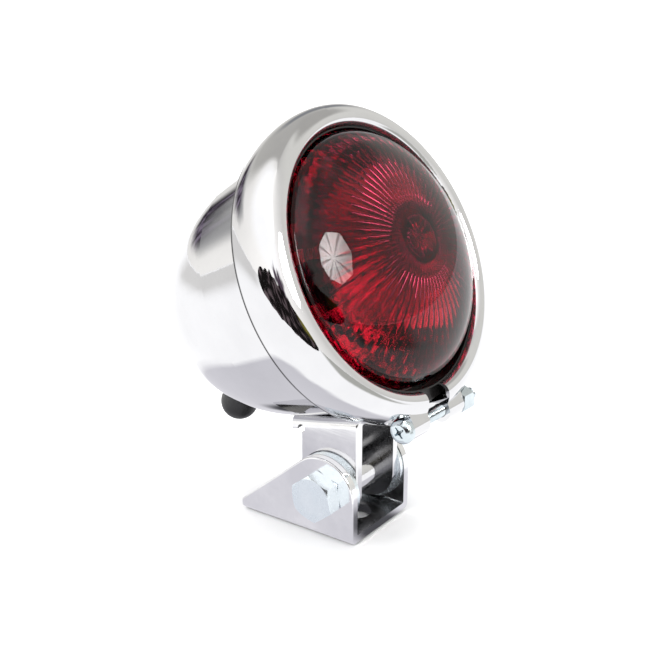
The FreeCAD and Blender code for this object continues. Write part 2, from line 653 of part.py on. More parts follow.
def bulb_cap():
    """Plated BAY15d cap: a thin-walled shell with two offset bayonet pins."""
    cap = along_y(CAP_R, BULB_NECK_BACK, CAP_END)
    cap = cap.cut(along_y(CAP_R - CAP_WALL, BULB_NECK_BACK - 1, CAP_END - CAP_WALL))
    pin = along_x(PIN_R, CAP_R - CAP_WALL, PIN_OUT)
    low_pin = pin.copy()
    low_pin.translate(Vector(0, PIN_BACK, 0))
    high_pin = pin.mirror(ORIGIN, X_AXIS)
    high_pin.translate(Vector(0, PIN_BACK - 3.0, 0))
    return placed(cap.fuse(low_pin).fuse(high_pin), LAMP)


def bulb_contacts():
    """The two solder contacts on the insulated end of the cap."""
    pips = []
    for x in (-CONTACT_X, CONTACT_X):
        pip = along_y(PIP_R, CAP_END, CAP_END + PIP)
        pip.translate(Vector(x, 0, 0))
        pips.append(placed(pip, LAMP))
    return Part.makeCompound(pips)


def bulb_filaments():
    """Stop and tail filaments on their support wires, rising from a glass pinch."""
    pinch = Part.makeBox(7.0, BULB_NECK_BACK - 15.5, 2.4, Vector(-3.5, 15.5, -1.2))
    pieces = pinch
    for back, half in ((9.0, 3.0), (12.5, 2.6)):
        bar = along_x(0.45, -half - 0.2, half + 0.2)
        bar.translate(Vector(0, back, 0))
        pieces = pieces.fuse(bar)
        for x in (-half, half):
            post = along_y(0.3, back - 0.1, 16.0)
            post.translate(Vector(x, 0, 0))
            pieces = pieces.fuse(post)
    return placed(pieces, LAMP)


def bayonet_slot(pin_back):
    """Cutter for one J slot on the +X side: mouth, cross run and the pocket that holds the pin."""
    half = PIN_R + 0.15
    deep = pin_back + PUSH + half
    low, high = SOCKET_BORE_R - 2, SOCKET_R + 2
    mouth = Part.makeBox(high - low, deep - SOCKET_FRONT + 1, 2 * half, Vector(low, SOCKET_FRONT - 1, -half))
    mouth.rotate(ORIGIN, Y_AXIS, SLOT_TURN)
    pocket = Part.makeBox(high - low, deep - pin_back + half, 2 * half, Vector(low, pin_back - half, -half))
    cross_run = face_in_yz([(deep - 2 * half, low), (deep - 2 * half, high), (deep, high), (deep, low)])
    cross_run = cross_run.revolve(ORIGIN, Y_AXIS, SLOT_TURN)
    cross_run.rotate(ORIGIN, Y_AXIS, 90)
    return mouth.fuse(pocket).fuse(cross_run)


def socket_shell():
    """Steel bayonet socket, pressed into the reflector's collar."""
    shell = along_y(SOCKET_R, SOCKET_FRONT, SOCKET_END)
    flange = along_y(SOCKET_R + 3.0, COLLAR_END, COLLAR_END + 0.8)
    shell = shell.fuse(flange).cut(along_y(SOCKET_BORE_R, SOCKET_FRONT - 1, SOCKET_END + 1))
    shell = shell.cut(bayonet_slot(PIN_BACK))
    far_slot = bayonet_slot(PIN_BACK - 3.0)
    far_slot.rotate(ORIGIN, Y_AXIS, 180)
    return placed(shell.cut(far_slot), LAMP)


def contact_block():
    """Insulating block that slides in the socket and carries the two live contacts."""
    start = CAP_END + PIP + STUD_HEAD
    block = along_y(SOCKET_BORE_R - CAP_FIT, start, start + BLOCK_THICK)
    for x in (-CONTACT_X, CONTACT_X):
        hole = along_y(STUD_R, start - 1, start + BLOCK_THICK + 1)
        hole.translate(Vector(x, 0, 0))
        block = block.cut(hole)
    return placed(block, LAMP)


def contact_studs():
    """Brass studs, riveted through the sliding block, that touch the bulb's contacts."""
    studs = []
    front = CAP_END + PIP
    for x in (-CONTACT_X, CONTACT_X):
        stud = along_y(STUD_HEAD_R, front, front + STUD_HEAD)
        stud = stud.fuse(along_y(STUD_R, front + STUD_HEAD, front + STUD_LENGTH))
        stud.translate(Vector(x, 0, 0))
        studs.append(placed(stud.removeSplitter(), LAMP))
    return Part.makeCompound(studs)


def contact_spring():
    """Compression spring between the sliding block and the socket's rear insulator."""
    start = CAP_END + PIP + STUD_HEAD + BLOCK_THICK + SPRING_WIRE_R
    end = SOCKET_END - INSULATOR_THICK - SPRING_WIRE_R
    runs = int(SPRING_TURNS * SPRING_SIDES)
    points = []
    for i in range(runs + 1):
        angle = 2 * math.pi * i / SPRING_SIDES
        back = start + (end - start) * i / runs
        points.append(Vector(SPRING_COIL_R * math.cos(angle), back, SPRING_COIL_R * math.sin(angle)))
    section = Part.Wire(Part.makeCircle(SPRING_WIRE_R, points[0], points[1] - points[0]))
    mitred = 1
    coil = Part.makePolygon(points).makePipeShell([section], True, False, mitred)
    return placed(coil, LAMP)


def terminal_blade(x, front, rear):
    """One flat terminal blade, or the slot that it passes through."""
    corner = Vector(x - TERMINAL_SHEET / 2, front, -TERMINAL_WIDTH / 2)
    return Part.makeBox(TERMINAL_SHEET, rear - front, TERMINAL_WIDTH, corner)


def socket_insulator():
    """Fibre disc that closes the socket and backs the spring."""
    disc = along_y(SOCKET_BORE_R, SOCKET_END - INSULATOR_THICK, SOCKET_END)
    for x in (-CONTACT_X, CONTACT_X):
        disc = disc.cut(terminal_blade(x, SOCKET_END - 5, SOCKET_END + 5))
    return placed(disc, LAMP)


def socket_terminals():
    """Two terminal blades that pass through the rear insulator."""
    front = SOCKET_END - INSULATOR_THICK - 1.0
    blades = [placed(terminal_blade(x, front, front + 5.5), LAMP) for x in (-CONTACT_X, CONTACT_X)]
    return Part.makeCompound(blades)


NODES = {
    "lower_bracket": lower_bracket,
    "pivot_bolt": pivot_bolt,
    "pivot_nut": pivot_nut,
    "spring_washer": spring_washer,
    "friction_washers": friction_washers,
    "spacer_tube": spacer_tube,
    "upper_bracket": upper_bracket,
    "bracket_rivets": bracket_rivets,
    "earth_tag": earth_tag,
    "housing": housing,
    "cable_grommet": cable_grommet,
    "bezel_ring": bezel_ring,
    "clamp_screw": clamp_screw,
    "clamp_nut": clamp_nut,
    "lens": lens,
    "lens_seal": lens_seal,
    "housing_gasket": housing_gasket,
    "reflector": reflector,
    "bulb_glass": bulb_glass,
    "bulb_cap": bulb_cap,
    "bulb_contacts": bulb_contacts,
    "bulb_filaments": bulb_filaments,
    "socket_shell": socket_shell,
    "contact_block": contact_block,
    "contact_studs": contact_studs,
    "contact_spring": contact_spring,
    "socket_insulator": socket_insulator,
    "socket_terminals": socket_terminals,
}

os.makedirs("parts", exist_ok=True)
for name, make in NODES.items():
    solid = make()
    print(f"{name}: {len(solid.Solids)} solid(s), {solid.Volume:.1f} mm3, valid {solid.isValid()}")
    solid.exportStep(f"parts/{name}.step")
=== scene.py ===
"""Looks of the motorcycle tail light: materials, fluted lens, threaded screw, studio and camera."""
import json
import math

import bmesh
import bpy
from mathutils import Matrix, Vector, noise


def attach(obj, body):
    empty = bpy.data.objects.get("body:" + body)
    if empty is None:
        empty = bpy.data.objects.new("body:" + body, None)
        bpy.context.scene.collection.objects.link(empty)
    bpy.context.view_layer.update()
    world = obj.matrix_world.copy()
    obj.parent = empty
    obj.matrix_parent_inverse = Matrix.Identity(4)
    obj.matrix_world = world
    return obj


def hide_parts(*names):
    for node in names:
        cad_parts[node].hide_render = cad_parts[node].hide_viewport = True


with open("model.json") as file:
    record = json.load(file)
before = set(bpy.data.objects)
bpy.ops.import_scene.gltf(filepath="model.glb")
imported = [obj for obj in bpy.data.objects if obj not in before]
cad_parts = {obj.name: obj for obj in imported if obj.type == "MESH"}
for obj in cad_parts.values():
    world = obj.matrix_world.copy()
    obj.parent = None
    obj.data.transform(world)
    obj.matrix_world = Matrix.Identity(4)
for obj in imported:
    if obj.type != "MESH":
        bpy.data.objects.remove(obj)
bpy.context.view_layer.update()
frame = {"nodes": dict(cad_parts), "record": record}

nodes = frame["nodes"]
scene = bpy.context.scene
MM = 0.001

# The lamp's own frame, as in the CAD: +Y runs back along its axis from the bezel's lip, and -Z is the
# side that the clamp is on. The clamp's frame is centred in the gap between the ring's two lugs.
LAMP_TILT = -28.0           # degrees
CLAMP_TURN = 2.6            # degrees round the ring from its lowest point
CLAMP_SIDE = -1.5 * MM      # middle of the gap, measured along the clamp screw
CLAMP_BACK = 3.4 * MM       # clamp screw behind the lip
CLAMP_RADIUS = 35.6 * MM    # clamp screw from the lamp's axis
LAMP = Matrix.Translation((0, -7.5 * MM, 66.3 * MM)) @ Matrix.Rotation(math.radians(LAMP_TILT), 4, "X")
CLAMP = (
    LAMP @ Matrix.Rotation(math.radians(CLAMP_TURN), 4, "Y")
    @ Matrix.Translation((CLAMP_SIDE, CLAMP_BACK, -CLAMP_RADIUS))
)


# ---- Camera -------------------------------------------------------------------------------------
CAMERA_PLACE = (-0.25833, -0.17552, 0.17245)
CAMERA_DIRECTION = (0.75638, 0.54047, -0.36848)
CAMERA_LENS = 83.65         # millimetres, on the sensor below
CAMERA_SENSOR = 36.0


def make_camera():
    data = bpy.data.cameras.new("camera")
    data.lens = CAMERA_LENS
    data.sensor_width = CAMERA_SENSOR
    data.clip_start = 0.01
    camera = bpy.data.objects.new("camera", data)
    camera.location = CAMERA_PLACE
    camera.rotation_euler = Vector(CAMERA_DIRECTION).to_track_quat("-Z", "Y").to_euler()
    scene.collection.objects.link(camera)
    scene.camera = camera


# ---- Node helpers -------------------------------------------------------------------------------
class Tree:
    """A material's nodes, built with short calls."""

    def __init__(self, name):
        self.material = bpy.data.materials.new(name)
        self.material.use_nodes = True
        self.tree = self.material.node_tree
        self.tree.nodes.clear()
        self.out = self.tree.nodes.new("ShaderNodeOutputMaterial")

    def node(self, kind, **settings):
        made = self.tree.nodes.new("ShaderNode" + kind)
        for key, value in settings.items():
            setattr(made, key, value)
        return made

    def link(self, source, target):
        self.tree.links.new(source, target)

    def place(self, scale=1.0, stretch=(1, 1, 1), turn=(0, 0, 0)):
        """Object coordinates in metres, scaled and stretched."""
        coords = self.node("TexCoord")
        mapping = self.node("Mapping")
        mapping.inputs["Scale"].default_value = [scale * s for s in stretch]
        mapping.inputs["Rotation"].default_value = [math.radians(t) for t in turn]
        self.link(coords.outputs["Object"], mapping.inputs["Vector"])
        return mapping.outputs["Vector"]

    def noise(self, scale, detail=3.0, rough=0.5, stretch=(1, 1, 1), turn=(0, 0, 0)):
        made = self.node("TexNoise")
        made.inputs["Scale"].default_value = 1.0
        made.inputs["Detail"].default_value = detail
        made.inputs["Roughness"].default_value = rough
        self.link(self.place(scale, stretch, turn), made.inputs["Vector"])
        return made.outputs["Fac"]

    def remap(self, value, low, high, to_low, to_high):
        made = self.node("MapRange")
        made.inputs["From Min"].default_value = low
        made.inputs["From Max"].default_value = high
        made.inputs["To Min"].default_value = to_low
        made.inputs["To Max"].default_value = to_high
        self.link(value, made.inputs["Value"])
        return made.outputs["Result"]

    def math(self, operation, a, b):
        made = self.node("Math", operation=operation)
        for socket, value in zip(made.inputs, (a, b)):
            if isinstance(value, (int, float)):
                socket.default_value = value
            else:
                self.link(value, socket)
        return made.outputs["Value"]

    def mix(self, factor, a, b):
        """Mixes two colours by a factor socket."""
        made = self.node("Mix", data_type="RGBA")
        self.link(factor, made.inputs[0])
        made.inputs[6].default_value = (*a, 1)
        made.inputs[7].default_value = (*b, 1)
        return made.outputs[2]

    def dot(self, socket, direction):
        made = self.node("VectorMath", operation="DOT_PRODUCT")
        self.link(socket, made.inputs[0])
        made.inputs[1].default_value = direction
        return made.outputs["Value"]

    def darken(self, colour, factor):
        """Multiplies a colour socket by a grey factor socket."""
        made = self.node("VectorMath", operation="SCALE")
        self.link(colour, made.inputs[0])
        self.link(factor, made.inputs["Scale"])
        return made.outputs["Vector"]

    def bump(self, height, strength, distance, below=None):
        made = self.node("Bump")
        made.inputs["Strength"].default_value = strength
        made.inputs["Distance"].default_value = distance
        self.link(height, made.inputs["Height"])
        if below is not None:
            self.link(below, made.inputs["Normal"])
        return made.outputs["Normal"]

    def surface(self, **settings):
        """The Principled shader: a number or a tuple sets a socket, anything else is linked to it."""
        shader = self.node("BsdfPrincipled")
        for key, value in settings.items():
            socket = shader.inputs[key.replace("_", " ")]
            if isinstance(value, (int, float)):
                socket.default_value = value
            elif isinstance(value, tuple):
                socket.default_value = (*value, 1) if len(value) == 3 else value
            else:
                self.link(value, socket)
        self.link(shader.outputs["BSDF"], self.out.inputs["Surface"])
        return self.material


def unshaded_outside_ears(half_width):
    """Share of a bent bracket left unshaded: 0 on the sides and web between its ears, which get a painted
    shade, 1 on the rest.
    """
    def share(t):
        coords = t.node("TexCoord")
        place = t.node("SeparateXYZ")
        facing = t.node("SeparateXYZ")
        t.link(coords.outputs["Object"], place.inputs[0])
        t.link(coords.outputs["Normal"], facing.inputs[0])
        across = t.math("ABSOLUTE", place.outputs["X"], 0.0)
        outer = t.remap(across, half_width + 0.1 * MM, half_width + 0.3 * MM, 0.0, 1.0)
        front = t.remap(facing.outputs["Y"], -0.8, -0.5, 1.0, 0.0)
        return t.math("MAXIMUM", outer, front)
    return share


def unshaded_ring_front(t):
    """Share of the clamp ring left unshaded: 0 on its rear face and along its rear edge, which take a
    painted shade where the ring meets the housing, 1 on the rest.
    """
    axis = LAMP.to_3x3() @ Vector((0, 1, 0))
    rear = axis.dot(LAMP.translation) + RING_REAR
    coords = t.node("TexCoord")
    facing = t.dot(coords.outputs["Normal"], axis)
    back = t.dot(coords.outputs["Object"], axis)
    shown = t.remap(facing, 0.55, 0.75, 1.0, 0.0)
    edge = t.remap(back, rear - 0.7 * MM, rear - 0.4 * MM, 1.0, 0.0)
    return t.math("MINIMUM", shown, edge)


def plated(name, tone, shade, rough, wave, scratch=0.5, unshaded_share=None, painted_shade_tone=0.42):
    """Polished plating: wavy sheet, hazy patches and fine polishing scratches, with a painted shade on
    hidden sides.

    The share function gives 1 where the plating is left as it is and 0 where shade falls. There the colour
    is multiplied down to the given tone, a painted shade, and the roughness rises by up to 0.10."""
    t = Tree(name)
    haze = t.noise(70, 4, 0.6)
    fine = t.noise(900, 2, 0.5, stretch=(1, 0.08, 1), turn=(0, 0, 35))
    dust = t.remap(t.noise(2600, 2), 0.70, 0.78, 0.0, 1.0)
    patchy = t.remap(haze, 0.3, 0.7, rough * 0.6, rough * 1.5)
    roughness = t.math("ADD", patchy, t.math("MULTIPLY", dust, 0.12))
    roughness = t.math("ADD", roughness, t.remap(fine, 0.4, 0.7, 0.0, rough * 0.8))
    normal = t.bump(t.noise(34, 1), wave, 0.001)
    normal = t.bump(fine, 0.02 * scratch, 0.0004, normal)
    colour = t.mix(t.remap(haze, 0.35, 0.65, 0.0, 1.0), shade, tone)
    # painted shade: the colour is darkened towards the given tone where the share falls to 0
    if unshaded_share:
        share = unshaded_share(t)
        colour = t.darken(colour, t.remap(share, 0.0, 1.0, painted_shade_tone, 1.0))
        roughness = t.math("ADD", roughness, t.remap(share, 0.0, 1.0, 0.10, 0.0))
    return t.surface(Base_Color=colour, Metallic=1.0, Roughness=roughness, Normal=normal)


def zinc_plated(name, tone, shade, rough):
    """Plated or plain metal that isn't polished: crystalline haze and small dull spots."""
    t = Tree(name)
    grain = t.noise(1400, 4, 0.65)
    stain = t.noise(190, 3, 0.6)
    grainy = t.remap(grain, 0.3, 0.7, rough * 0.7, rough * 1.3)
    roughness = t.math("ADD", grainy, t.remap(stain, 0.5, 0.8, 0, 0.15))
    normal = t.bump(grain, 0.10, 0.0003)
    colour = t.mix(t.remap(stain, 0.35, 0.7, 0.0, 1.0), tone, shade)
    return t.surface(Base_Color=colour, Metallic=1.0, Roughness=roughness, Normal=normal)


def rubber(name, tone, shade, rough, grain):
    t = Tree(name)
    fine = t.noise(grain, 3, 0.6)
    bloom = t.noise(120, 3, 0.5)
    normal = t.bump(fine, 0.25, 0.0002)
    colour = t.mix(t.remap(bloom, 0.35, 0.7, 0.0, 1.0), tone, shade)
    return t.surface(
        Base_Color=colour, Roughness=t.remap(fine, 0.3, 0.7, rough * 0.85, rough * 1.15),
        Specular_IOR_Level=0.35, Normal=normal,
    )


def red_plastic(name):
    """Transparent deep red acrylic with faint moulding flow and a few handling marks on its polish."""
    t = Tree(name)
    flow = t.noise(60, 2, 0.5)
    marks = t.noise(800, 3, 0.6, stretch=(1, 1, 0.15), turn=(20, 0, 15))
    colour = t.mix(t.remap(flow, 0.35, 0.65, 0.0, 1.0), (0.34, 0.022, 0.060), (0.39, 0.028, 0.072))
    roughness = t.remap(marks, 0.5, 0.8, 0.002, 0.02)
    return t.surface(
        Base_Color=colour, Roughness=roughness, IOR=1.34, Transmission_Weight=1.0,
        Normal=t.bump(marks, 0.01, 0.0002),
    )


def clear_glass(name):
    t = Tree(name)
    ripple = t.noise(160, 2, 0.5)
    return t.surface(
        Base_Color=(0.97, 0.98, 0.98), Roughness=t.remap(ripple, 0.3, 0.7, 0.0, 0.02), IOR=1.1,
        Transmission_Weight=1.0, Normal=t.bump(ripple, 0.04, 0.0004),
    )


def board(name, tone, shade):
    """Brown insulating board with its paper fibre."""
    t = Tree(name)
    fibre = t.noise(1500, 4, 0.7, stretch=(1, 0.2, 1))
    colour = t.mix(t.remap(fibre, 0.3, 0.7, 0.0, 1.0), tone, shade)
    return t.surface(Base_Color=colour, Roughness=0.6, Normal=t.bump(fibre, 0.3, 0.0002))


RING_REAR = 12.3 * MM       # rear face of the clamp ring, behind the lip
FOOT_INSIDE = 9.6 * MM      # inner faces of the lower bracket's ears, from the middle plane
FORK_INSIDE = 6.4 * MM      # and of the upper bracket's

MATERIALS = {
    "chrome": plated("chrome", (0.67, 0.67, 0.685), (0.63, 0.63, 0.645), 0.035, 0.010),
    # Clamp ring: painted shade on its rear face and along its rear edge, where it meets the housing.
    "ring_chrome": plated(
        "ring_chrome", (0.67, 0.67, 0.685), (0.63, 0.63, 0.645), 0.035, 0.010,
        unshaded_share=unshaded_ring_front, painted_shade_tone=0.10,
    ),
    # Brackets: painted shade on the sides and web between their ears.
    "foot_chrome": plated(
        "foot_chrome", (0.82, 0.82, 0.83), (0.70, 0.70, 0.72), 0.075, 0.030, 1.5, unshaded_outside_ears(FOOT_INSIDE),
    ),
    "fork_chrome": plated(
        "fork_chrome", (0.76, 0.76, 0.77), (0.63, 0.63, 0.65), 0.075, 0.030, 1.5, unshaded_outside_ears(FORK_INSIDE),
    ),
    "tube_chrome": plated("tube_chrome", (0.70, 0.70, 0.71), (0.60, 0.60, 0.62), 0.075, 0.030, 1.5),
    "zinc": zinc_plated("zinc", (0.80, 0.86, 0.89), (0.72, 0.79, 0.83), 0.22),
    "clamp_zinc": zinc_plated("clamp_zinc", (0.62, 0.68, 0.71), (0.52, 0.58, 0.62), 0.17),
    "stainless": zinc_plated("stainless", (0.56, 0.57, 0.58), (0.42, 0.43, 0.45), 0.34),
    "red_lens": red_plastic("red_lens"),
    "black_rubber": rubber("black_rubber", (0.010, 0.010, 0.011), (0.020, 0.020, 0.021), 0.42, 2600),
    "seal_rubber": rubber("seal_rubber", (0.004, 0.004, 0.004), (0.009, 0.008, 0.008), 0.24, 1800),
    "metallised": plated("metallised", (0.88, 0.88, 0.88), (0.80, 0.80, 0.80), 0.05, 0.02),
    "bulb_glass": clear_glass("bulb_glass"),
    "nickel": zinc_plated("nickel", (0.66, 0.63, 0.56), (0.55, 0.51, 0.45), 0.28),
    "solder": zinc_plated("solder", (0.60, 0.60, 0.61), (0.42, 0.42, 0.44), 0.40),
    "tungsten": zinc_plated("tungsten", (0.34, 0.34, 0.35), (0.22, 0.22, 0.23), 0.38),
    "brass": zinc_plated("brass", (0.70, 0.52, 0.22), (0.55, 0.38, 0.15), 0.30),
    "fibre": board("fibre", (0.22, 0.10, 0.045), (0.12, 0.055, 0.028)),
}
FINISH_OF_NODE = {
    "bezel_ring": "ring_chrome",
    "lower_bracket": "foot_chrome",
    "upper_bracket": "fork_chrome",
    "spacer_tube": "tube_chrome",
    "lens_seal": "seal_rubber",
    "clamp_nut": "clamp_zinc",
}


def dress(piece, finish):
    piece.data.materials.clear()
    piece.data.materials.append(MATERIALS[finish])


def dress_frame():
    slots = {part["node"]: part["material_slot"] for part in frame["record"]["subparts"]}
    for name, piece in nodes.items():
        dress(piece, FINISH_OF_NODE.get(name, slots[name]))


# ---- Pieces -------------------------------------------------------------------------------------
def clamped(value):
    return min(max(value, 0), 1)


def soft_step(value, low, high):
    t = clamped((value - low) / (high - low))
    return t * t * (3 - 2 * t)


def faces_between(rings, count):
    """Faces that join rings of count points each, every one closed on itself."""
    faces = []
    for j in range(rings - 1):
        for i in range(count):
            k = (i + 1) % count
            faces.append((j * count + i, j * count + k, (j + 1) * count + k, (j + 1) * count + i))
    return faces


def revolved(name, rings, count, placement, offsets=None):
    """A closed mesh from rings of points, each a function from an angle to (back, radius).

    Its measures are in millimetres. offsets moves each ring's centre, to the side and up."""
    vertices = []
    for j, ring in enumerate(rings):
        side, up = offsets[j] if offsets else (0, 0)
        for i in range(count):
            angle = 2 * math.pi * i / count
            back, radius = ring(angle)
            point = Vector((side + radius * math.cos(angle), back, up + radius * math.sin(angle)))
            vertices.append(point * MM)
    faces = faces_between(len(rings), count)
    faces.append(tuple(range(count - 1, -1, -1)))
    faces.append(tuple((len(rings) - 1) * count + i for i in range(count)))
    mesh = bpy.data.meshes.new(name)
    mesh.from_pydata(vertices, [], faces)
    mesh.transform(placement)
    shell = bmesh.new()
    shell.from_mesh(mesh)
    bmesh.ops.recalc_face_normals(shell, faces=shell.faces)
    shell.to_mesh(mesh)
    shell.free()
    piece = bpy.data.objects.new(name, mesh)
    scene.collection.objects.link(piece)
    return piece


def shade(piece, angle):
    """Smooth shading that keeps edges sharper than angle."""
    piece.data.shade_smooth()
    piece.data.set_sharp_from_angle(angle=math.radians(angle))


# The lens, in millimetres in the lamp's frame. Backs are measured from the lip, to the rear.
LENS_R = 28.9
LENS_BACK = 2.8             # where the dome reaches its full radius
LENS_HEIGHT = 12.7
LENS_WALL = 1.4
LENS_UP = 0.5               # the lens sits off the ring's centre
LENS_EDGE = 0.15            # its edges' bevel
DOME_RINGS = 44
DOME_START = 0.004          # radians from the pole to the first ring
FLANGE_R = 33.3
FLANGE_FRONT = 5.4
FLANGE_REAR = 8.0
FLUTES = 60
FLUTE_POINTS = 10           # round one flute
FLUTE_RINGS = 34
FLUTE_START = 6.4           # radius where the flutes begin to grow
FLUTE_GROWTH = 3.0          # over this much radius
FLUTE_FADE = 16.0           # radius where they begin to flatten
FLUTE_FADE_REACH = 10.0
FLUTE_DEPTH = 0.22          # share of a flute's width
FLUTE_SPREAD = 0.6          # share of a groove that turns outwards, near the rim
BULLSEYE_R = 4.9
BULLSEYE_RISE = 0.6
BULLSEYE_FACETS = 8
BULLSEYE_RINGS = 8
OPTICS_SIDE = 1.5           # the flutes' centre, off the dome's
OPTICS_UP = 1.0


def dome(radius, inset):
    """How far behind the lip the dome's outside (inset 0) or inside lies."""
    reach = LENS_R - inset
    height = LENS_HEIGHT - inset
    return LENS_BACK - height * math.sqrt(max(1 - (radius / reach) ** 2, 0))


def fluted(radius):
    """A ring of the lens's inside, whose convex ribs are parted by sharp grooves."""
    grow = clamped((radius - FLUTE_START) / FLUTE_GROWTH)
    fade = 1 - 0.8 * clamped((radius - FLUTE_FADE) / FLUTE_FADE_REACH)
    depth = FLUTE_DEPTH * 2 * math.pi * radius / FLUTES * grow * fade

    def ring(angle):
        across = (angle * FLUTES / (2 * math.pi)) % 1.0 - 0.5
        groove = depth * (2 * across) ** 2
        tilt = min(radius / (LENS_R - LENS_WALL), 1) ** 2
        back = dome(radius, LENS_WALL) - groove * (1 - FLUTE_SPREAD * tilt)
        return back, radius + groove * FLUTE_SPREAD * tilt
    return ring


def bullseye(radius):
    """A ring of the small faceted boss at the centre, cut like a shallow gem."""
    rise = BULLSEYE_RISE * min(1.0, 1.6 * (1 - radius / BULLSEYE_R))
    facet_angle = 2 * math.pi / BULLSEYE_FACETS

    def ring(angle):
        across = (angle / facet_angle) % 1.0 - 0.5
        cut = 0.5 * rise * (1 - math.cos(facet_angle / 2) / math.cos(facet_angle * across))
        return dome(radius, LENS_WALL) + rise + 3 * cut, radius
    return ring


def optics_centre(radius):
    """The flutes and the bullseye are centred a little to one side of the dome."""
    share = 1 - (radius / (LENS_R - LENS_WALL)) ** 2
    return OPTICS_SIDE * share, OPTICS_UP * share


def level(back, radius):
    return lambda angle: (back, radius)


def make_lens():
    """The red lens: polished dome, clamped flange, radial flutes and a bullseye inside."""
    edge = LENS_EDGE
    rings = []
    for i in range(DOME_RINGS + 1):
        radius = LENS_R * math.sin(DOME_START + (math.pi / 2 - DOME_START) * i / DOME_RINGS)
        rings.append(level(dome(radius, 0), radius))
    for back, radius in (
        (FLANGE_FRONT, LENS_R), (FLANGE_FRONT, LENS_R + edge), (FLANGE_FRONT, FLANGE_R - edge),
        (FLANGE_FRONT + edge, FLANGE_R), (FLANGE_REAR - edge, FLANGE_R), (FLANGE_REAR, FLANGE_R - edge),
        (FLANGE_REAR, LENS_R - LENS_WALL + edge), (FLANGE_REAR - edge, LENS_R - LENS_WALL),
    ):
        rings.append(level(back, radius))
    offsets = [(0, 0)] * len(rings)
    inner_r = LENS_R - LENS_WALL
    for i in range(FLUTE_RINGS + 1):
        radius = BULLSEYE_R + (inner_r - BULLSEYE_R) * math.cos(math.pi / 2 * i / FLUTE_RINGS)
        rings.append(fluted(radius))
        offsets.append(optics_centre(radius))
    for i in range(1, BULLSEYE_RINGS + 1):
        radius = BULLSEYE_R * (1 - i / (BULLSEYE_RINGS + 0.02))
        rings.append(bullseye(radius))
        offsets.append(optics_centre(radius))
    seat = LAMP @ Matrix.Translation((0, 0, LENS_UP * MM))
    lens = revolved("red_dome_lens", rings, FLUTES * FLUTE_POINTS, seat, offsets)
    shade(lens, 50)
    dress(lens, "red_lens")
    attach(lens, "lamp_head")
    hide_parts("lens")


# The clamp screw, in millimetres along its own axis. Seat is the head's face on the lug.
SCREW_R = 1.5
SCREW_LENGTH = 27.0
CLAMP_GAP = 7.8             # between the ring's two lugs
LUG_LENGTH = 6.0            # of each lug, along the screw
THREAD_PITCH = 0.5
THREAD_DEPTH = 0.30
THREAD_START = 1.6
HEAD_R = 2.85
HEAD = 2.2                  # its height
RECESS_DEPTH = 1.25
RECESS_WALL = 0.22
RECESS_TURN = 12            # degrees
RINGS_PER_PITCH = 10
SCREW_POINTS = 48           # round its axis


def make_clamp_screw():
    """M3 pan-head screw: real thread, domed head with a tapered cross recess."""
    seat = -CLAMP_GAP / 2 - LUG_LENGTH
    head_outline = (
        (0.12, 1.85), (0.35, 2.35), (0.75, 2.7), (1.2, HEAD_R), (HEAD - 0.15, HEAD_R),
        (HEAD, HEAD_R - 0.15), (HEAD, SCREW_R),
    )

    def recess(radius):
        """The head's face, with a cross-shaped recess that narrows with depth."""
        def ring(angle):
            arm = abs(math.sin(2 * (angle - math.radians(RECESS_TURN))))
            reach = 0.55 + 1.2 * (1 - arm) ** 3
            inside = soft_step(reach - radius, 0, RECESS_WALL)
            crown = 0.03 * (radius / 1.2) ** 2
            deep = RECESS_DEPTH * inside * (1 - 0.45 * radius / 1.9)
            return seat - HEAD + crown + deep, radius
        return ring

    rings = [recess(0.01), recess(0.15)]
    rings += [recess(0.3 + 0.12 * i) for i in range(13)]
    rings += [level(seat - HEAD + along, radius) for along, radius in head_outline]

    def thread_ring(along):
        fade_in = clamped((along - THREAD_START) / 0.8)
        fade_out = clamped((SCREW_LENGTH - along) / 0.5)

        def ring(angle):
            phase = (along / THREAD_PITCH + angle / (2 * math.pi)) % 1.0
            crest = abs(2 * phase - 1)
            cut = THREAD_DEPTH * clamped(1.15 * (1 - crest)) * fade_in
            return seat + along, SCREW_R - max(cut, THREAD_DEPTH * (1 - fade_out))
        return ring

    count = int(SCREW_LENGTH / THREAD_PITCH * RINGS_PER_PITCH)
    rings += [thread_ring(SCREW_LENGTH * i / count) for i in range(count + 1)]
    along_x = Matrix(((0, 1, 0, 0), (1, 0, 0, 0), (0, 0, -1, 0), (0, 0, 0, 1)))
    screw = revolved("clamp_screw_threaded", rings, SCREW_POINTS, CLAMP @ along_x)
    shade(screw, 32)
    dress(screw, "clamp_zinc")
    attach(screw, "lamp_head")
    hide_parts("clamp_screw")


# ---- Studio -------------------------------------------------------------------------------------
def glow(name):
    """Emission in the colours that painted_card gives a card's vertices."""
    t = Tree(name)
    emit = t.node("Emission")
    emit.inputs["Strength"].default_value = 1.0
    painted = t.node("Attribute", attribute_name="light")
    t.link(painted.outputs["Color"], emit.inputs["Color"])
    t.link(emit.outputs["Emission"], t.out.inputs["Surface"])
    return t.material


def painted_card(name, vertices, faces, colours, placement=None):
    """A glowing card with a colour at each vertex, which shows in reflections and through glass alone."""
    mesh = bpy.data.meshes.new(name)
    mesh.from_pydata(vertices, [], faces)
    if placement is not None:
        mesh.transform(placement)
    painted = mesh.color_attributes.new("light", "FLOAT_COLOR", "POINT")
    for item, colour in zip(painted.data, colours):
        item.color = (*colour, 1)
    card = bpy.data.objects.new(name, mesh)
    scene.collection.objects.link(card)
    card.data.materials.append(glow(name))
    card.visible_camera = False
    card.visible_diffuse = False
    card.visible_shadow = False
    card.visible_volume_scatter = False
    return card


def toward(azimuth, elevation):
    """A unit vector: azimuth from +Y towards +X, elevation from the floor, in degrees."""
    azimuth, elevation = math.radians(azimuth), math.radians(elevation)
    flat = math.cos(elevation)
    return Vector((math.sin(azimuth) * flat, math.cos(azimuth) * flat, math.sin(elevation)))


def turn_between(azimuth, centre):
    return (azimuth - centre + 180) % 360 - 180


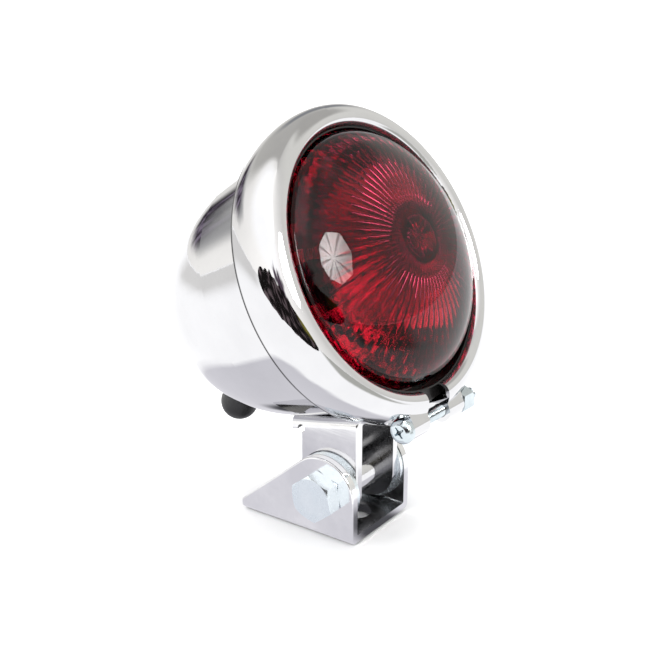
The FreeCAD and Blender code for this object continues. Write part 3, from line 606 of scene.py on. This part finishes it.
def patch(azimuth, elevation, at, size, soft, wobble=0.0):
    """1 inside a soft-edged round-cornered patch of the surroundings, 0 outside."""
    across = turn_between(azimuth, at[0]) / size[0]
    up = (elevation - at[1]) / size[1]
    if wobble:
        shift = noise.noise(Vector((azimuth * 0.11, elevation * 0.16, at[0])))
        across += wobble * shift
        up += wobble * noise.noise(Vector((azimuth * 0.13 + 40, elevation * 0.13, at[1])))
    distance = (abs(across) ** 3 + abs(up) ** 3) ** (1 / 3)
    return 1 - soft_step(distance, 1 - soft, 1 + soft)


def blend_to(colour, other, share):
    return [a + (b - a) * share for a, b in zip(colour, other)]


# The tent's patches in painting order: colour, centre and half size in degrees, softness, wobble.
TENT_PATCHES = (
    ((0.60, 0.59, 0.56), (38, 46), (36, 40), 0.18, 0.0),        # grey wall behind the lamp
    ((0.94, 0.93, 0.88), (112, 40), (42, 42), 0.4, 0.0),        # warm wall on its right
    ((0.56, 0.55, 0.52), (86, 48), (32, 15), 0.3, 0.0),         # grey band across them
    ((1.55, 1.55, 1.55), (-66, 50), (58, 32), 0.26, 0.0),       # bright panel on its left
    ((2.0, 2.0, 2.0), (-84, 60), (44, 11), 0.3, 0.0),           # its brightest strip
    ((0.30, 0.31, 0.33), (52, 21), (17, 8), 0.35, 0.0),         # dark block on the grey wall
    ((0.46, 0.46, 0.46), (8, 6.0), (14, 3.5), 0.5, 0.4),        # grey shapes low behind the lamp
)
VIOLET_PATCH = ((16, 3.8), (13, 3.4), 0.35, 0.3)                # mottled, lower still
LEFT_PATCH = ((-108, 20), (15, 8), 0.4, 0.8)                    # dark block on the left


def surroundings(azimuth, elevation):
    """Radiance of the studio tent: azimuth from +Y towards +X, elevation from the floor, in degrees."""
    side = math.cos(math.radians(azimuth + 82))
    base = 1.12 + 0.42 * side
    colour = [base, base * 0.985, base * 0.95]
    for paint, at, size, soft, wobble in TENT_PATCHES:
        colour = blend_to(colour, paint, patch(azimuth, elevation, at, size, soft, wobble))
    mottle = soft_step(noise.noise(Vector((azimuth * 0.35, elevation * 0.9, 2.2))), 0.05, 0.35)
    violet = blend_to((0.03, 0.024, 0.035), (0.30, 0.25, 0.33), mottle)
    colour = blend_to(colour, violet, patch(azimuth, elevation, *VIOLET_PATCH))
    return blend_to(colour, (0.10, 0.07, 0.10), patch(azimuth, elevation, *LEFT_PATCH))


def seen_within(azimuth, elevation):
    """Radiance that reaches the reflector through the lens: scattered bright panels on a dim ground."""
    panels = noise.noise(toward(azimuth, elevation) * 4.2 + Vector((3.1, 0.4, 1.7)))
    light = 0.06 + 6.0 * soft_step(panels, 0.12, 0.26)
    return light, light, light


TENT_STEP = 1.5             # degrees between its points
TENT_CENTRE = 0.06          # metres above the table
TENT_FOOT = -2              # degrees, its lowest ring


def make_tent(name, radius, light):
    """Painted surroundings, as a dome that rays from the lamp see and the camera doesn't."""
    across = int(360 / TENT_STEP)
    up = int(90 / TENT_STEP)
    vertices = []
    colours = []
    for j in range(up + 1):
        elevation = TENT_FOOT + (90 - TENT_FOOT) * j / up
        for i in range(across):
            azimuth = -180 + TENT_STEP * i
            vertices.append(radius * toward(azimuth, elevation) + Vector((0, 0, TENT_CENTRE)))
            colours.append(light(azimuth, elevation))
    return painted_card(name, vertices, faces_between(up + 1, across), colours)


EDGE_R = 0.21               # the dark edge's distance from the lamp, in metres
EDGE_START, EDGE_END = -150, -52        # degrees round from +Y
EDGE_MIDDLE = 0.062         # its height at the middle
EDGE_COLUMNS, EDGE_ROWS = 98, 14


def make_dark_edge():
    """The dark room past the table's edge on the camera's left, as the chrome sees it."""
    vertices = []
    colours = []
    for i in range(EDGE_COLUMNS + 1):
        share = i / EDGE_COLUMNS
        azimuth = EDGE_START + (EDGE_END - EDGE_START) * i / EDGE_COLUMNS
        flat = EDGE_R * toward(azimuth, 0)
        taper = math.sin(math.pi * share) ** 0.45
        ragged = 0.010 * noise.noise(Vector((azimuth * 0.12, 3.1, 0)))
        low = EDGE_MIDDLE - (0.058 + ragged) * taper
        high = EDGE_MIDDLE + (0.060 + 2 * ragged) * taper
        for j in range(EDGE_ROWS + 1):
            height = low + (high - low) * j / EDGE_ROWS
            vertices.append((flat.x, flat.y, height))
            mottle = noise.noise(Vector((azimuth * 0.16, height * 60, 7.7)))
            colour = blend_to((0.012, 0.010, 0.010), (0.16, 0.12, 0.13), soft_step(mottle, 0.18, 0.42))
            olive = soft_step(-azimuth, 128, 142) * soft_step(height, 0.055, 0.085)
            colours.append(blend_to(colour, (0.30, 0.27, 0.06), olive))
    faces = []
    for i in range(EDGE_COLUMNS):
        for j in range(EDGE_ROWS):
            a = i * (EDGE_ROWS + 1) + j
            b = a + EDGE_ROWS + 1
            faces.append((a, b, b + 1, a + 1))
    painted_card("dark_edge", vertices, faces, colours)


def table_light(x, y):
    """Radiance of the table as the plating sees it: dim under the bracket, lavender behind the lamp."""
    distance = math.hypot(x, y)
    azimuth = math.degrees(math.atan2(x, y))
    colour = [1.42, 1.42, 1.42]
    far = soft_step(distance, 0.25, 0.5) * patch(azimuth, 0, (-20, 0), (26, 1), 0.3)
    colour = blend_to(colour, (0.95, 0.94, 0.92), far)
    front = soft_step(distance, 0.14, 0.19) * patch(azimuth, 0, (178, 0), (25, 1), 0.2)
    colour = blend_to(colour, (0.60, 0.60, 0.56), front)
    behind = math.hypot(x / 0.053, (y - 0.024) / 0.050)
    colour = blend_to(colour, (0.86, 0.85, 0.90), 1 - soft_step(behind, 0.96, 1.04))
    under = math.hypot(x / 0.0105, (y - 0.008) / 0.026)
    return blend_to(colour, (0.09, 0.09, 0.10), 1 - soft_step(under, 0.75, 1.15))


def table_within(x, y):
    """The table as the reflector sees it through the lens: bright sheets on a dim ground."""
    sheets = noise.noise(Vector((x * 11, y * 11, 5.3)))
    light = 0.08 + 2.4 * soft_step(sheets, 0.08, 0.25)
    return light, light, light


TABLE_POINTS = 120          # in each ring
TABLE_RINGS = 60
TABLE_START = 0.002         # metres, the smallest ring's radius
TABLE_GROWTH = 1.115        # of each ring on the one inside it
TABLE_CENTRE = 0.016        # metres behind the origin


def make_table_card(name, height, light):
    """The table as a painted card that rays from the lamp see and the camera doesn't."""
    vertices = []
    colours = []
    for j in range(TABLE_RINGS + 1):
        reach = TABLE_START * TABLE_GROWTH ** j
        for i in range(TABLE_POINTS):
            angle = 2 * math.pi * i / TABLE_POINTS
            x = reach * math.cos(angle)
            y = TABLE_CENTRE + reach * math.sin(angle)
            vertices.append((x, y, height))
            colours.append(light(x, y))
    faces = [tuple(range(TABLE_POINTS))]
    faces += [face[::-1] for face in faces_between(TABLE_RINGS + 1, TABLE_POINTS)]
    return painted_card(name, vertices, faces, colours)


UMBRELLA_DISTANCE = 0.9     # metres from the lens
UMBRELLA_STRETCH = 1.28     # its width for its height
UMBRELLA_GORES = 8
UMBRELLA_RINGS = 18
UMBRELLA_POINTS = 160       # in each ring


def make_umbrella(name, azimuth, elevation, radius, power):
    """An octagonal, ribbed soft light, such as the one whose reflection stands on the lens."""
    lens_centre = LAMP @ Vector((0, -8 * MM, 0))
    direction = toward(azimuth, elevation)
    face = (-direction).to_track_quat("Z", "Y").to_matrix().to_4x4()
    placement = Matrix.Translation(lens_centre + direction * UMBRELLA_DISTANCE) @ face
    gore_angle = 2 * math.pi / UMBRELLA_GORES
    vertices = []
    colours = []
    for j in range(UMBRELLA_RINGS + 1):
        share = j / UMBRELLA_RINGS
        for i in range(UMBRELLA_POINTS):
            angle = 2 * math.pi * i / UMBRELLA_POINTS
            gore = (angle / gore_angle) % 1.0 - 0.5
            outline = math.cos(gore_angle / 2) / math.cos(gore_angle * gore)
            r = radius * share * outline
            vertices.append((UMBRELLA_STRETCH * r * math.cos(angle), r * math.sin(angle), 0))
            rib = 1 - 0.65 * soft_step(abs(gore), 0.30, 0.47) * soft_step(share, 0.0, 0.15)
            fold = 1 - 0.35 * abs(math.cos(math.pi * gore)) * share
            fade = 0.45 + 0.55 * soft_step(math.sin(angle + 0.9) * share, -0.9, 0.5)
            value = power * rib * fold * fade
            colours.append((value, value * 0.99, value * 0.97))
    faces = faces_between(UMBRELLA_RINGS + 1, UMBRELLA_POINTS)
    return painted_card(name, vertices, faces, colours, placement)


FLOOR_R = 6.0
FLOOR_POINTS = 96
FLOOR_DROP = 0.0003         # below the part's underside, so that the two don't share a plane


def make_floor():
    """A pale matt table, as a disc that runs past every view's horizon."""
    mesh = bpy.data.meshes.new("floor")
    points = [(0, 0, 0)]
    for i in range(FLOOR_POINTS):
        angle = 2 * math.pi * i / FLOOR_POINTS
        points.append((FLOOR_R * math.cos(angle), FLOOR_R * math.sin(angle), 0))
    faces = [(0, 1 + i, 1 + (i + 1) % FLOOR_POINTS) for i in range(FLOOR_POINTS)]
    mesh.from_pydata(points, [], faces)
    floor = bpy.data.objects.new("floor", mesh)
    floor.location = (0, 0, -FLOOR_DROP)
    scene.collection.objects.link(floor)
    t = Tree("pale_table")
    grain = t.noise(40, 3)
    colour = t.mix(t.remap(grain, 0.3, 0.7, 0, 1), (0.845, 0.845, 0.85), (0.86, 0.86, 0.86))
    floor.data.materials.append(t.surface(Base_Color=colour, Roughness=0.9, Specular_IOR_Level=0.1))


def area_light(name, position, target, size, power):
    """A round soft light on the matt surfaces, which the plating and the lens don't reflect."""
    data = bpy.data.lights.new(name, "AREA")
    data.shape = "DISK"
    data.size = size
    data.energy = power
    light = bpy.data.objects.new(name, data)
    light.location = position
    light.rotation_euler = (Vector(target) - Vector(position)).to_track_quat("-Z", "Y").to_euler()
    light.visible_glossy = False
    light.visible_transmission = False
    light.visible_camera = False
    scene.collection.objects.link(light)


def make_world():
    world = bpy.data.worlds.new("studio")
    scene.world = world
    world.use_nodes = True
    background = world.node_tree.nodes["Background"]
    background.inputs["Color"].default_value = (1.0, 1.0, 1.0, 1)
    background.inputs["Strength"].default_value = 1.4
    world.cycles_visibility.glossy = False
    world.cycles_visibility.transmission = False


# Cards named "within" light what lies behind the lens; the others are what the plating reflects.
make_camera()
make_world()
make_floor()
make_tent("tent", 1.2, surroundings).visible_transmission = False
make_tent("tent_within", 1.15, seen_within).visible_glossy = False
make_dark_edge()
make_table_card("table_light", 0.0001, table_light).visible_transmission = False
make_table_card("table_within", 0.0002, table_within).visible_glossy = False
make_umbrella("umbrella", -166, 36, 0.240, 33).visible_transmission = False
make_umbrella("umbrella_within", -161, 36, 0.26, 7).visible_glossy = False
make_umbrella("strip_within", -75, 58, 0.30, 6).visible_glossy = False
area_light("overhead", (0.05, 0.05, 1.3), (0, 0, 0.03), 1.5, 12)
area_light("left_fill", (-0.9, 0.35, 0.8), (0, 0, 0.05), 0.8, 3)
dress_frame()
make_lens()
make_clamp_screw()

scene.view_settings.view_transform = "Standard"
scene.view_settings.look = "None"
